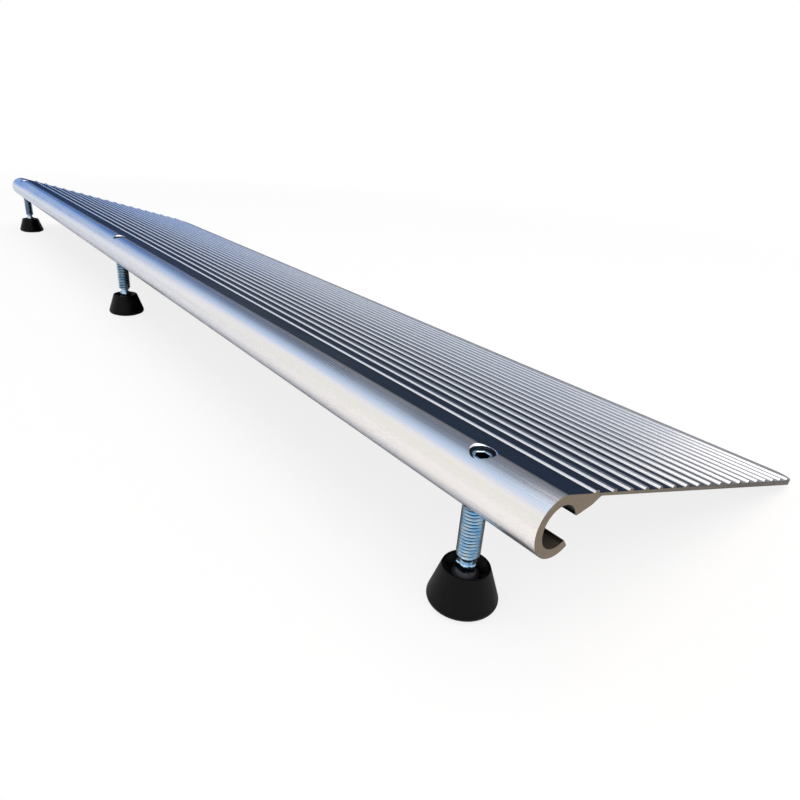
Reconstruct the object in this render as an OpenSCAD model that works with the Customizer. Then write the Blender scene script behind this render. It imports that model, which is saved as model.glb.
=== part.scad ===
// Threshold ramp: one extruded aluminium tread with a hollow C-shaped nose,
// carried at the nose by three screw-adjusted swivel feet. The toe rests on the floor.
// Millimetres. +X runs along the doorway, the nose faces -Y, +Z is up,
// and the origin is on the floor under the middle of the part's box.

/* [Ramp] */
// Length of the ramp along the doorway
ramp_length = 1000; // [500:10:2000]
// Length of the tread down the slope, from the nose's crown to the toe
tread_length = 247; // [245:1:400]
// Thickness of the tread next to the nose
tread_t_nose = 1.0; // [0.9:0.1:3.6]
// Thickness of the tread at the toe
tread_t_toe = 3.2; // [1.6:0.1:3.6]
// Radius of the toe's two corners
corner_r = 16; // [3:0.5:17.5]
// Width of the flat on which the toe rests
toe_flat_w = 1.5; // [0.5:0.1:4]

/* [Nose] */
// Outer diameter of the nose
nose_d = 24.5; // [23:0.5:32]
// How far the tread's face lies below the top of the nose's curve
crown_drop = 0.03; // [0.02:0.01:0.1]
// Diameter of the channel inside the nose
channel_d = 17; // [15:0.5:19]
// Height of the nose's axis above the floor
nose_height = 58.25; // [52:0.25:75]
// Angle of the lip's end below the horizontal
lip_angle = 56; // [54:1:70]
// Height of the hook's lowest point above the nose's axis
hook_rise = 1.5; // [0.8:0.05:2.2]
// Radius of the hook's tip
hook_tip_r = 1.4; // [0.6:0.1:1.6]
// Distance of the knee in the hook's underside behind the nose's axis
hook_knee_y = 17.5; // [15:0.5:19]
// Height of that knee above the nose's axis
hook_knee_z = 3.0; // [2.2:0.1:3.6]
// Distance behind the nose's axis where the hook runs out into the tread
hook_reach = 22.5; // [20:0.5:28]

/* [Ribs] */
// Number of anti-slip ribs
rib_count = 18; // [2:1:18]
// Spacing of the ribs down the slope
rib_pitch = 12.4; // [6:0.1:12.5]
// Distance of the first rib from the crown
rib_first = 16.5; // [8:0.5:17]
// Width of a rib
rib_w = 3.0; // [2.8:0.1:5]
// Height of a rib
rib_h = 1.3; // [0.6:0.1:1.4]

/* [Leg places] */
// Distance of the outer legs from the ramp's ends
leg_inset = 37.5; // [20:0.5:150]
// Distance of the legs ahead of the nose's axis
leg_offset = 1.25; // [0.8:0.05:2]

/* [Spindle] */
// Outside diameter of the spindle's thread
spindle_d = 10; // [8:0.5:10.5]
// Depth of the spindle's end below the nose's crown
spindle_sink = 1.8; // [0.4:0.1:2.4]
// Chamfer at both ends of the thread
spindle_chamfer = 1.2; // [0.5:0.1:1.6]
// Width across the flats of the key socket
socket_af = 5; // [3:0.5:5]
// Depth of the key socket
socket_depth = 4; // [3:0.5:12]
// Depth of the countersink around each tapped hole
countersink_depth = 0.6; // [0.3:0.1:1.5]
// Height of the thread's lower end above the floor
thread_end_z = 22.9; // [21:0.1:30]
// Diameter of the neck under the thread
neck_d = 6; // [4:0.1:7]
// Height of the neck
neck_h = 2.5; // [1:0.1:3]
// Width across the flats of the collar
collar_af = 8; // [6.5:0.1:8.4]
// Diameter of the plain journal below the collar
journal_d = 5; // [4:0.1:5.5]
// Diameter of the journal's peened head
head_d = 6.4; // [6:0.1:7.2]
// Thickness of the peened head
head_h = 1.2; // [0.8:0.1:2]

/* [Foot] */
// Diameter of the foot at the floor
foot_d = 30; // [29:0.5:45]
// Diameter of the foot's rim
foot_top_d = 20.5; // [20:0.5:26]
// Height of the foot
foot_h = 18; // [17:0.5:18.5]
// Radius of the foot's lower edge
foot_edge_r = 2.4; // [0.8:0.1:3]
// Radius of the foot's rim
rim_r = 0.6; // [0.3:0.1:0.8]
// Diameter of the dish in the foot's top
dish_d = 17.6; // [16.5:0.1:18]
// Diameter of the dish's floor
dish_floor_d = 13.6; // [13:0.1:15]
// Depth of the dish
dish_depth = 3.3; // [2.6:0.1:3.6]
// Diameter of the swivel ball
ball_d = 13; // [12:0.5:13.5]
// Height of the ball's centre above the floor
ball_z = 11.5; // [11:0.1:11.8]
// Height of the ball's upper flat above its centre
ball_top = 5.2; // [3.6:0.1:5.4]
// Depth of the ball's lower flat below its centre
ball_bottom = 4.6; // [4:0.1:5]
// Diameter of the rubber sole
sole_d = 24; // [16:0.5:24]
// Thickness of the rubber sole
sole_t = 2.6; // [1.6:0.1:3.2]
// How far the sole stands below the foot
sole_proud = 0.6; // [0.2:0.1:1]
// Width of the bevel around the sole
sole_bevel = 0.4; // [0.2:0.1:0.5]

/* [Clearances] */
// Radial clearance of the spindle in its tapped holes
thread_clearance = 0.05; // [0.02:0.01:0.1]
// Radial clearance of the journal in the ball
journal_clearance = 0.05; // [0.02:0.01:0.1]
// Clearance of the ball in the foot's socket
ball_clearance = 0.15; // [0.1:0.01:0.3]
// End play of the spindle in the ball
end_play = 0.1; // [0.05:0.01:0.2]
// Clearance of the sole in its recess
sole_clearance = 0.1; // [0.05:0.01:0.2]

/* [Hidden] */
$fn = 64;
// Every cut runs past the face that it leaves by this much
overrun = 2;
// Straight pieces in each rounded edge
arc_steps = 6;
// Across the flats to across the corners of a hexagon
hex_corner_share = 1 / cos(30);

nose_r = nose_d / 2;
face_r = nose_r - crown_drop;
channel_r = channel_d / 2;
rib_r = (pow(rib_w / 2, 2) + pow(rib_h, 2)) / (2 * rib_h);

// The slope that brings the toe's lower corner just under the floor, where the flat is cut
toe_r = face_r - tread_t_toe;
toe_chord = norm([tread_length, toe_r]);
toe_lean = atan2(toe_r, tread_length);
bare_slope = toe_lean + asin(nose_height / toe_chord);
toe_sink = toe_flat_w * sin(bare_slope) * cos(bare_slope);
slope = toe_lean + asin((nose_height + toe_sink) / toe_chord);

// The whole part's box is centred on the origin: the feet or the nose in front, the toe behind
toe_reach = tread_length * cos(slope) + face_r * sin(slope);
front_reach = max(nose_r, leg_offset + foot_d / 2);
nose_y = (front_reach - toe_reach) / 2;
leg_y = nose_y - leg_offset;
leg_x = ramp_length / 2 - leg_inset;
RIGHT = leg_x;
CENTRE = 0;
LEFT = -leg_x;

// The crown's height over the legs, and the spindle from there down to its head
crown_z = nose_height + sqrt(pow(nose_r, 2) - pow(leg_offset, 2));
spindle_top = crown_z - spindle_sink;
spindle_r = spindle_d / 2;
collar_top = thread_end_z - neck_h;
collar_base = ball_z + ball_top + end_play;
collar_half = (collar_top - collar_base) / 2;
head_base = ball_z - ball_bottom + end_play;
head_top = head_base + head_h;
journal_r = journal_d / 2;

// The foot's own values
ball_r = ball_d / 2;
foot_r = foot_d / 2;
foot_top_r = foot_top_d / 2;
foot_lean = atan2(foot_r - foot_top_r, foot_h - sole_proud);
rim_centre_r = foot_top_r - rim_r;

ALUMINIUM = "#c9ccd2";
ZINC = "#9fb4c6";
BLACK_PLASTIC = "#232226";
ACETAL = "#3a3a3d";
RUBBER = "#161616";

// Points of an arc from angle a to angle b
function arc(centre, r, a, b) =
    [for (i = [0 : arc_steps])
        let (t = a + (b - a) * i / arc_steps)
        centre + r * [cos(t), sin(t)]];

// A point of the cross-section, u down the slope from the crown and v out from the nose's axis
function on_tread(u, v) =
    [u * cos(slope) + v * sin(slope), v * cos(slope) - u * sin(slope)];

// Distance down the slope at which the line v out from the nose's axis is y behind that axis
function tread_u(y, v) = (y - v * sin(slope)) / cos(slope);

// The nose as a disc, left open at the mouth from the hook's tip down to the lip's end
module nose_2d() {
    reach = 2 * nose_r;
    mouth_angle = asin((hook_rise + hook_tip_r) / channel_r);
    difference() {
        circle(nose_r);
        polygon([
            [0, 0],
            reach * [cos(lip_angle), -sin(lip_angle)],
            reach * [1, 0],
            reach * [cos(mouth_angle), sin(mouth_angle)]
        ]);
    }
}

// The web behind the crown, with the hook that closes the mouth from above and runs out under the tread
module hook_2d() {
    tip_z = hook_rise + hook_tip_r;
    tip_y = sqrt(pow(channel_r, 2) - pow(tip_z, 2)) + hook_tip_r;
    under = face_r - tread_t_nose;
    middle = face_r - tread_t_nose / 2;
    polygon(concat(
        arc([tip_y, tip_z], hook_tip_r, 180, 270),
        [
            [hook_knee_y, hook_knee_z],
            on_tread(tread_u(hook_reach, under), under),
            on_tread(tread_u(hook_reach, middle), middle),
            on_tread(0, middle)
        ]
    ));
}

// The flat sheet of the tread, which leaves the nose at its crown
module tread_2d() {
    rotate(-slope)
        polygon([
            [0, face_r - tread_t_nose],
            [tread_length, face_r - tread_t_toe],
            [tread_length, face_r],
            [0, face_r]
        ]);
}

// Rounded ribs on the tread, cut off inside the sheet
module ribs_2d() {
    root = min(tread_t_nose, tread_t_toe) / 2;
    rotate(-slope)
        intersection() {
            for (i = [0 : rib_count - 1])
                translate([rib_first + i * rib_pitch, face_r + rib_h - rib_r])
                    circle(rib_r);
            translate([0, face_r - root])
                square([tread_length, root + rib_h + overrun]);
        }
}

// The whole cross-section around the nose's axis
module profile_2d() {
    difference() {
        union() {
            nose_2d();
            hook_2d();
            tread_2d();
            ribs_2d();
        }
        circle(channel_r);
    }
}

// What is cut off one toe corner to round it
module toe_corner(side) {
    height = tread_t_toe + 2 * overrun;
    size = corner_r + overrun;
    translate([0, nose_y, nose_height])
        rotate([-slope, 0, 0])
        translate([side * (ramp_length / 2 - corner_r), tread_length - corner_r, face_r - height + overrun])
        difference() {
            translate([side > 0 ? 0 : -size, 0, 0])
                cube([size, size, height]);
            translate([0, 0, -overrun])
                cylinder(r = corner_r, h = height + 2 * overrun);
        }
}

// The tapped and countersunk hole that one spindle runs in
module leg_hole(x) {
    hole_r = spindle_r + thread_clearance;
    translate([x, leg_y, nose_height - nose_r - overrun])
        cylinder(r = hole_r, h = 2 * (nose_r + overrun));
    translate([x, leg_y, crown_z - countersink_depth])
        cylinder(
            r1 = hole_r,
            r2 = hole_r + countersink_depth + overrun,
            h = countersink_depth + overrun
        );
}

module ramp_profile() {
    color(ALUMINIUM)
    difference() {
        translate([-ramp_length / 2, nose_y, nose_height])
            rotate([90, 0, 90])
            linear_extrude(height = ramp_length)
            profile_2d();
        for (x = [LEFT, CENTRE, RIGHT])
            leg_hole(x);
        for (side = [-1, 1])
            toe_corner(side);
        translate([-ramp_length / 2 - overrun, 0, -toe_sink - overrun])
            cube([ramp_length + 2 * overrun, toe_reach, toe_sink + overrun]);
    }
}

// Threaded rod with a key socket on top, a neck, a six-sided collar and a peened journal
module spindle(x) {
    shank_r = spindle_r - spindle_chamfer;
    color(ZINC)
    translate([x, leg_y, 0])
    difference() {
        union() {
            rotate_extrude()
                polygon([
                    [0, thread_end_z],
                    [shank_r, thread_end_z],
                    [spindle_r, thread_end_z + spindle_chamfer],
                    [spindle_r, spindle_top - spindle_chamfer],
                    [shank_r, spindle_top],
                    [0, spindle_top]
                ]);
            translate([0, 0, collar_top - collar_half])
                cylinder(d = neck_d, h = neck_h + 2 * collar_half);
            translate([0, 0, collar_base])
                cylinder(d = collar_af * hex_corner_share, h = collar_top - collar_base, $fn = 6);
            translate([0, 0, head_top])
                cylinder(r = journal_r, h = collar_base - head_top + collar_half);
            translate([0, 0, head_base])
                cylinder(d = head_d, h = head_h);
        }
        translate([0, 0, spindle_top - socket_depth])
            cylinder(d = socket_af * hex_corner_share, h = socket_depth + overrun, $fn = 6);
    }
}

// Bush with a spherical outside, which the journal turns in and the foot tilts on
module swivel_ball(x) {
    flat_size = ball_d + 2 * overrun;
    color(ACETAL)
    translate([x, leg_y, ball_z])
    difference() {
        sphere(r = ball_r);
        translate([-flat_size / 2, -flat_size / 2, ball_top])
            cube(flat_size);
        translate([-flat_size / 2, -flat_size / 2, -ball_bottom - flat_size])
            cube(flat_size);
        translate([0, 0, -ball_r])
            cylinder(r = journal_r + journal_clearance, h = ball_d);
        translate([0, 0, -ball_r])
            cylinder(d = head_d + 2 * end_play, h = ball_r - ball_bottom + head_h + 2 * end_play);
    }
}

// Conical foot with a dished top, a socket for the ball and a recess for the sole
module foot_base(x) {
    dish_floor = foot_h - dish_depth;
    rim_z = foot_h - rim_r;
    edge_z = sole_proud + foot_edge_r;
    color(BLACK_PLASTIC)
    translate([x, leg_y, 0])
    difference() {
        rotate_extrude()
            polygon(concat(
                [[0, sole_proud]],
                arc([foot_r - foot_edge_r, edge_z], foot_edge_r, -90, foot_lean),
                arc([rim_centre_r, rim_z], rim_r, foot_lean, 90),
                [
                    [dish_d / 2, foot_h],
                    [dish_floor_d / 2, dish_floor],
                    [0, dish_floor]
                ]
            ));
        translate([0, 0, ball_z])
            sphere(r = ball_r + ball_clearance);
        translate([0, 0, sole_proud - overrun])
            cylinder(r = sole_d / 2 + sole_clearance, h = sole_t - sole_proud + overrun);
    }
}

// Rubber disc under the foot
module foot_sole(x) {
    sole_r = sole_d / 2;
    color(RUBBER)
    translate([x, leg_y, 0])
    rotate_extrude()
        polygon([
            [0, 0],
            [sole_r - sole_bevel, 0],
            [sole_r, sole_bevel],
            [sole_r, sole_t],
            [0, sole_t]
        ]);
}

ramp_profile();
spindle(RIGHT);  // spindle_right
spindle(CENTRE);  // spindle_centre
spindle(LEFT);  // spindle_left
swivel_ball(RIGHT);  // swivel_ball_right
swivel_ball(CENTRE);  // swivel_ball_centre
swivel_ball(LEFT);  // swivel_ball_left
foot_base(RIGHT);  // foot_base_right
foot_base(CENTRE);  // foot_base_centre
foot_base(LEFT);  // foot_base_left
foot_sole(RIGHT);  // foot_sole_right
foot_sole(CENTRE);  // foot_sole_centre
foot_sole(LEFT);  // foot_sole_left
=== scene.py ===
"""Looks of a threshold ramp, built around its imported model.

A ribbed aluminium extrusion with a hollow C-shaped nose stands on three screw-adjusted swivel feet.
Every piece is in metres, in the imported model's own frame.
"""

import math

import bmesh
import bpy
from mathutils import Matrix, Vector


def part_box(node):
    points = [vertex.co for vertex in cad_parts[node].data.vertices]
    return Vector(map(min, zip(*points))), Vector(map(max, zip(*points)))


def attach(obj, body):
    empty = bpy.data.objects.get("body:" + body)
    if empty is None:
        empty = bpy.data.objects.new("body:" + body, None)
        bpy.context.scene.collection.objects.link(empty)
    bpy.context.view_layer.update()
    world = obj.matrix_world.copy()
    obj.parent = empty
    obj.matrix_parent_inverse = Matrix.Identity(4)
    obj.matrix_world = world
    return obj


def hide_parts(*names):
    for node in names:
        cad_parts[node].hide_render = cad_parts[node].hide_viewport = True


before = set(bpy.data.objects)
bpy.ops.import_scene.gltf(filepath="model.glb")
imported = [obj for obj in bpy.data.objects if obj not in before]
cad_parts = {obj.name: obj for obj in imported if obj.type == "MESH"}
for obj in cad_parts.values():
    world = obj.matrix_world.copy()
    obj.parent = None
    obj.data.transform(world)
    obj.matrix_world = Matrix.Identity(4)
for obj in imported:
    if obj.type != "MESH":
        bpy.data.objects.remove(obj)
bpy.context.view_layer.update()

bl_info = {
    "name": "Threshold ramp looks",
    "version": (1, 0, 0),
    "blender": (4, 5, 0),
    "location": "View3D > Sidebar > Ramp",
    "description": "Builds the visible pieces, finishes and studio of a ribbed threshold ramp",
    "category": "Object",
}

SIDES = ("right", "centre", "left")
HEX_SIDES = 6
DEPTH = "thread_depth"
WHITE = (1, 1, 1, 1)
# The camera's sensor, in the millimetres that its lens is given in
SENSOR_WIDTH = 36
# A wave texture at scale 1 turns through this many radians in one metre
WAVE_RADIANS = 20


def mm(value):
    """Millimetres as metres."""
    return value / 1000


# Points closer than this are one point
WELD = mm(0.001)


def linear(code):
    """An sRGB hex colour as linear RGBA."""
    channels = [int(code[i:i + 2], 16) / 255 for i in (1, 3, 5)]
    return tuple(
        value / 12.92 if value <= 0.04045 else ((value + 0.055) / 1.055) ** 2.4 for value in channels
    ) + (1.0,)


def length(name, description, default, **more):
    """A length property in metres, from a default in millimetres."""
    return bpy.props.FloatProperty(
        name=name, description=description, default=mm(default), unit="LENGTH", precision=5, **more
    )


def angle(name, description, default):
    """An angle property, from a default in degrees."""
    return bpy.props.FloatProperty(
        name=name, description=description, default=math.radians(default), subtype="ANGLE"
    )


def colour(name, description, code):
    """A colour property, from an sRGB hex default."""
    return bpy.props.FloatVectorProperty(
        name=name, description=description, default=linear(code), size=4, subtype="COLOR", min=0, max=1
    )


class RampSizes(bpy.types.PropertyGroup):
    """Sizes of the extrusion"""

    tread_length: length("Tread length", "From the nose's crown down the slope to the toe", 247)
    slope: angle("Slope", "Fall of the tread below the horizontal", 15.816047)
    thick_nose: length("Tread at the nose", "Thickness of the tread next to the nose", 1.0)
    thick_toe: length("Tread at the toe", "Thickness of the tread at the toe", 3.2)
    corner_radius: length("Toe corner", "Radius of the toe's two corners", 16)
    nose_radius: length("Nose radius", "Outer radius of the nose", 12.25)
    face_radius: length("Face radius", "Distance of the tread's face from the nose's axis", 12.22)
    channel_radius: length("Channel radius", "Radius of the channel inside the nose", 8.5)
    nose_height: length("Nose height", "Height of the nose's axis above the floor", 58.25)
    lip_angle: angle("Lip angle", "Angle of the lip's end below the horizontal", 56)
    lip_edge: length("Lip edge", "Radius on the lip's two edges", 0.45)
    hook_rise: length("Hook rise", "Height of the hook's lowest point above the nose's axis", 1.5)
    hook_tip: length("Hook tip", "Radius of the hook's tip", 1.4)
    hook_knee_y: length("Hook knee", "Distance of the hook's knee behind the nose's axis", 17.5)
    hook_knee_z: length("Hook knee height", "Height of the hook's knee above the nose's axis", 3.0)
    hook_reach: length("Hook reach", "Distance behind the nose's axis where the hook meets the tread", 22.5)
    hook_fillet: length("Hook fillet", "Radius where the hook runs into the tread", 2.5)
    rib_count: bpy.props.IntProperty(name="Ribs", description="Number of anti-slip ribs", default=18, min=1)
    rib_pitch: length("Rib pitch", "Spacing of the ribs down the slope", 12.4)
    rib_first: length("First rib", "Distance of the first rib from the crown", 16.5)
    rib_width: length("Rib width", "Width of a rib", 3.0)
    rib_height: length("Rib height", "Height of a rib", 1.3)
    end_chamfer: length("End chamfer", "Deburred edge around the sawn ends", 0.15)
    hole_radius: length("Hole radius", "Radius of the tapped holes", 5.05)
    countersink: length("Countersink", "Depth of the countersink around each hole", 0.6)


class LegSizes(bpy.types.PropertyGroup):
    """Sizes of the spindles and feet"""

    leg_offset: length("Leg offset", "Distance of the legs ahead of the nose's axis", 1.25)
    pitch: length("Thread pitch", "Rise of the thread in one turn", 1.5)
    crest_radius: length("Thread radius", "Radius of the thread's crests", 5.0)
    root_radius: length("Root radius", "Radius of the thread's roots", 4.1)
    chamfer: length("Thread chamfer", "Chamfer at both ends of the thread", 1.2)
    thread_end: length("Thread end", "Height of the thread's lower end above the floor", 22.9)
    socket_flats: length("Socket", "Width across the flats of the key socket", 5)
    socket_depth: length("Socket depth", "Depth of the key socket", 4)
    neck_radius: length("Neck radius", "Radius of the neck under the thread", 3)
    collar_flats: length("Collar", "Width across the flats of the collar", 8)
    collar_top: length("Collar top", "Height of the collar's top above the floor", 20.4)
    collar_base: length("Collar base", "Height of the collar's underside above the floor", 16.8)
    collar_bevel: length("Collar bevel", "Turned bevel on the collar's corners", 0.45)
    journal_radius: length("Journal radius", "Radius of the journal in the ball", 2.5)
    head_radius: length("Head radius", "Radius of the journal's peened head", 3.2)
    head_height: length("Head height", "Thickness of the peened head", 1.2)
    foot_radius: length("Foot radius", "Radius of the foot at the floor", 15)
    rim_radius: length("Rim radius", "Radius of the foot at its rim", 10.25)
    foot_height: length("Foot height", "Height of the foot's rim above the floor", 18)
    foot_base: length("Foot base", "Height of the foot's underside above the floor", 0.6)
    foot_edge: length("Foot edge", "Radius of the foot's lower edge", 2.4)
    rim_edge: length("Rim edge", "Radius on the foot's rim", 0.6)
    dish_radius: length("Dish radius", "Radius of the dish in the foot's top", 8.8)
    dish_floor_radius: length("Dish floor", "Radius of the dish's floor", 6.8)
    dish_depth: length("Dish depth", "Depth of the dish", 3.3)
    socket_radius: length("Ball socket", "Radius of the socket around the ball", 6.65)
    ball_height: length("Ball height", "Height of the ball's centre above the floor", 11.5)
    sole_radius: length("Sole recess", "Radius of the recess for the sole", 12.1)
    sole_top: length("Recess top", "Height of the recess's roof above the floor", 2.6)


class RampFinishes(bpy.types.PropertyGroup):
    """Colours of the pieces"""

    aluminium: colour("Aluminium", "Satin anodised aluminium on the nose and the ribs' sides", "#efeeec")
    sheen: colour("Sheen", "Cool sheen of the anodised film at a low angle", "#dde5f3")
    # Painted dark reflection on the tread's face and the ribs' crests
    painted_dark_reflection: colour("Film", "Darker film on the tread's face and the ribs' crests", "#252d3c")
    # Painted slate reflection of that dark at a low angle
    painted_slate_reflection: colour("Film sheen", "Slate sheen of the darker film at a low angle", "#9fa6ac")
    # Painted shade on the faces that look down
    underside_shade: colour("Underside", "Scuffed aluminium on the faces that look down", "#a09b95")
    # Painted shade inside the nose's channel
    channel: colour("Channel", "Unpolished skin inside the nose's channel", "#4b463d")
    sawn: colour("Sawn ends", "Bare aluminium of the sawn ends", "#7d7363")
    # Painted shade on the sawn ends, darker towards the toe
    toe_shade: colour("Grime", "Dirt from the floor on the sawn ends, towards the toe", "#45423a")
    machined: colour("Machined holes", "Bright aluminium of the countersinks", "#eef0f2")
    # Painted shade inside the tapped holes
    tapped: colour("Tapped holes", "Oily thread inside the holes", "#4a5058")
    zinc: colour("Zinc", "Bright zinc plating on the spindles", "#d8e2e6")
    passivate: colour("Passivate", "Blue passivate on the zinc", "#93c8ea")
    # Painted shade in the roots of the threads
    root_shade: colour("Thread oil", "Oil and dust in the roots of the threads", "#2f3f50")
    nylon: colour("Nylon", "Black nylon of the feet", "#070608")
    acetal: colour("Acetal", "Dark acetal of the swivel balls", "#2b2b2e")
    rubber: colour("Rubber", "Rubber of the soles", "#171717")


class StageSettings(bpy.types.PropertyGroup):
    """Camera, floor, board, cards and light"""

    camera_place: bpy.props.FloatVectorProperty(
        name="Camera", description="Place of the camera", default=(0.599315, -0.269483, 0.177104),
        subtype="TRANSLATION", unit="LENGTH", precision=5,
    )
    camera_yaw: angle("Yaw", "Turn of the camera from +Y towards -X", 50.242886)
    camera_pitch: angle("Pitch", "Fall of the camera's view below the horizon", 23.492921)
    camera_roll: angle("Roll", "Turn of the camera about its view", -4.752345)
    camera_lens: bpy.props.FloatProperty(
        name="Lens", description="Focal length on a 36 mm sensor", default=27.8705, unit="CAMERA"
    )
    backdrop: colour("Backdrop", "Painted studio floor and wall", "#edebe8")
    board: colour("Board", "Cream bounce board ahead of the nose", "#faf8f3")
    front_room: colour("Front room", "Pale studio ahead of the nose and behind the near end", "#fbf7ff")
    upper_room: colour("Upper room", "Cool studio overhead", "#c4daf8")
    back_room: colour("Back room", "Dim studio behind the ramp's far half", "#757f94")
    far_room: colour("Far room", "Blue studio high up beyond the ramp's far end", "#5b8bca")
    card: colour("Card", "Blue card beyond the ramp's far end", "#1f90f4")
    pale_card: colour("Pale card", "Pale card above the blue one, on the nose's side", "#b4c6de")
    ceiling: colour("Ceiling light", "Light of the panel overhead", "#fff4e2")


def add(tree, kind, inputs=None, **settings):
    """Adds a node to a tree, with its settings, socket values and links."""
    node = tree.nodes.new(kind)
    for name, value in settings.items():
        setattr(node, name, value)
    for name, value in (inputs or {}).items():
        if isinstance(value, bpy.types.NodeSocket):
            tree.links.new(value, node.inputs[name])
        else:
            node.inputs[name].default_value = value
    return node


def new_finish(name):
    """An empty node material and its tree."""
    finish = bpy.data.materials.new(name)
    finish.use_nodes = True
    finish.node_tree.nodes.clear()
    return finish, finish.node_tree


def satin_anodised_aluminium(colours, sizes, nose):
    """Aluminium pressed through a die and satin anodised: soft reflections drawn out along the length by
    fine die lines, a painted dark reflection on the tread's face and the ribs' crests with bright rib
    sides, and painted shade on the faces that look down and inside the channel."""
    finish, tree = new_finish("satin_anodised_aluminium")
    coords = add(tree, "ShaderNodeTexCoord")
    place, facing = coords.outputs["Object"], coords.outputs["Normal"]
    turn = Matrix.Rotation(sizes.slope, 3, "X")
    on_slope = add(
        tree, "ShaderNodeMapping",
        {"Vector": place, "Rotation": (sizes.slope, 0, 0), "Location": -(turn @ Vector(nose))},
    )
    # How far down the slope from the crown, and how far out from the nose's axis
    parts = add(tree, "ShaderNodeSeparateXYZ", {"Vector": on_slope.outputs["Vector"]})
    run, rise = parts.outputs["Y"], parts.outputs["Z"]
    # Painted dark reflection lies on the tread's face, from the nose's crown on, and on the ribs' crests,
    # and leaves the ribs' steep sides bright. It fades off the crests more and more towards the toe, so the
    # crests show brighter there
    crests = add(
        tree, "ShaderNodeMapRange",
        {"Value": run, "From Min": mm(20), "From Max": mm(130), "To Min": 1.0, "To Max": 0.0},
    )
    below_ribs = add(
        tree, "ShaderNodeMapRange",
        {"Value": rise, "From Min": sizes.face_radius + mm(0.05), "From Max": sizes.face_radius + mm(0.2),
         "To Min": 1.0, "To Max": crests.outputs["Result"]},
        interpolation_type="SMOOTHSTEP",
    )
    square_to_tread = turn.inverted() @ Vector((0, 0, 1))
    with_tread = add(
        tree, "ShaderNodeVectorMath", {0: facing, 1: square_to_tread}, operation="DOT_PRODUCT",
    )
    on_face = add(
        tree, "ShaderNodeMapRange",
        {"Value": with_tread.outputs["Value"], "From Min": 0.62, "From Max": 0.86},
    )
    begun = add(tree, "ShaderNodeMapRange", {"Value": run, "From Min": mm(-6), "From Max": mm(-1)})
    # The painted dark reflection eases to three quarters of its strength towards the toe
    toe_fade = add(
        tree, "ShaderNodeMapRange",
        {"Value": run, "From Min": mm(80), "From Max": mm(190), "To Min": 1.0, "To Max": 0.75},
    )
    painted_dark_reflection = below_ribs.outputs["Result"]
    for share in (on_face, begun, toe_fade):
        product = add(tree, "ShaderNodeMath", {0: painted_dark_reflection, 1: share.outputs["Result"]}, operation="MULTIPLY")
        painted_dark_reflection = product.outputs["Value"]
    # Painted shade darkens the faces that look down
    upward = add(tree, "ShaderNodeSeparateXYZ", {"Vector": facing}).outputs["Z"]
    down_shade = add(
        tree, "ShaderNodeMapRange", {"Value": upward, "From Min": -0.5, "From Max": -0.95},
        interpolation_type="SMOOTHSTEP",
    )
    # Painted shade darkens the channel, within its radius of the nose's axis
    across = add(tree, "ShaderNodeCombineXYZ", {"Y": run, "Z": rise})
    from_axis = add(tree, "ShaderNodeVectorMath", {0: across.outputs["Vector"]}, operation="LENGTH")
    in_channel = add(
        tree, "ShaderNodeMapRange",
        {"Value": from_axis.outputs["Value"], "From Min": sizes.channel_radius + mm(0.1),
         "From Max": sizes.channel_radius + mm(0.6), "To Min": 1.0, "To Max": 0.0},
        interpolation_type="SMOOTHSTEP",
    )
    # Die lines about 0.1 mm apart are drawn 0.5 mm apart, so that they show. They fade after 300 mm
    line_run, line_gap = mm(300), mm(0.5)
    lines_place = add(
        tree, "ShaderNodeMapping",
        {"Vector": place, "Scale": (1 / line_run, 1 / line_gap, 1 / line_gap)},
    )
    lines = add(
        tree, "ShaderNodeTexNoise",
        {"Vector": lines_place.outputs["Vector"], "Scale": 1.0, "Detail": 3.0, "Roughness": 0.6},
    )
    # Handling leaves cloudy patches about 60 mm across
    clouds = add(tree, "ShaderNodeTexNoise", {"Vector": place, "Scale": 1 / mm(60), "Detail": 4.0})
    rough_lines = add(
        tree, "ShaderNodeMapRange",
        {"Value": lines.outputs["Fac"], "From Min": 0.3, "From Max": 0.7, "To Min": 0.22, "To Max": 0.3},
    )
    rough_clouds = add(
        tree, "ShaderNodeMapRange",
        {"Value": clouds.outputs["Fac"], "From Min": 0.35, "From Max": 0.65,
         "To Min": -0.03, "To Max": 0.04},
    )
    rough = add(
        tree, "ShaderNodeMath",
        {0: rough_lines.outputs["Result"], 1: rough_clouds.outputs["Result"]}, operation="ADD",
    )
    # The colour face on and the tint at a low angle, each darkened below by painted shade and then covered
    # by the painted dark reflection
    metal, edge = colours.aluminium, colours.sheen
    for share, tone, tint in (
        (down_shade.outputs["Result"], colours.underside_shade, colours.underside_shade),
        (painted_dark_reflection, colours.painted_dark_reflection, colours.painted_slate_reflection),
    ):
        metal, edge = (
            add(
                tree, "ShaderNodeMix", {"Factor": share, "A": under, "B": over}, data_type="RGBA",
            ).outputs["Result"]
            for under, over in ((metal, tone), (edge, tint))
        )
    channel_shaded = add(
        tree, "ShaderNodeMix",
        {"Factor": in_channel.outputs["Result"], "A": metal, "B": colours.channel}, data_type="RGBA",
    )
    streak = add(
        tree, "ShaderNodeMapRange",
        {"Value": lines.outputs["Fac"], "From Min": 0.3, "From Max": 0.7, "To Min": 0.96, "To Max": 1.02},
    )
    streaked = add(
        tree, "ShaderNodeHueSaturation",
        {"Color": channel_shaded.outputs["Result"], "Value": streak.outputs["Result"]},
    )
    relief = add(
        tree, "ShaderNodeBump",
        {"Height": lines.outputs["Fac"], "Strength": 0.02, "Distance": mm(0.05)},
    )
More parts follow.
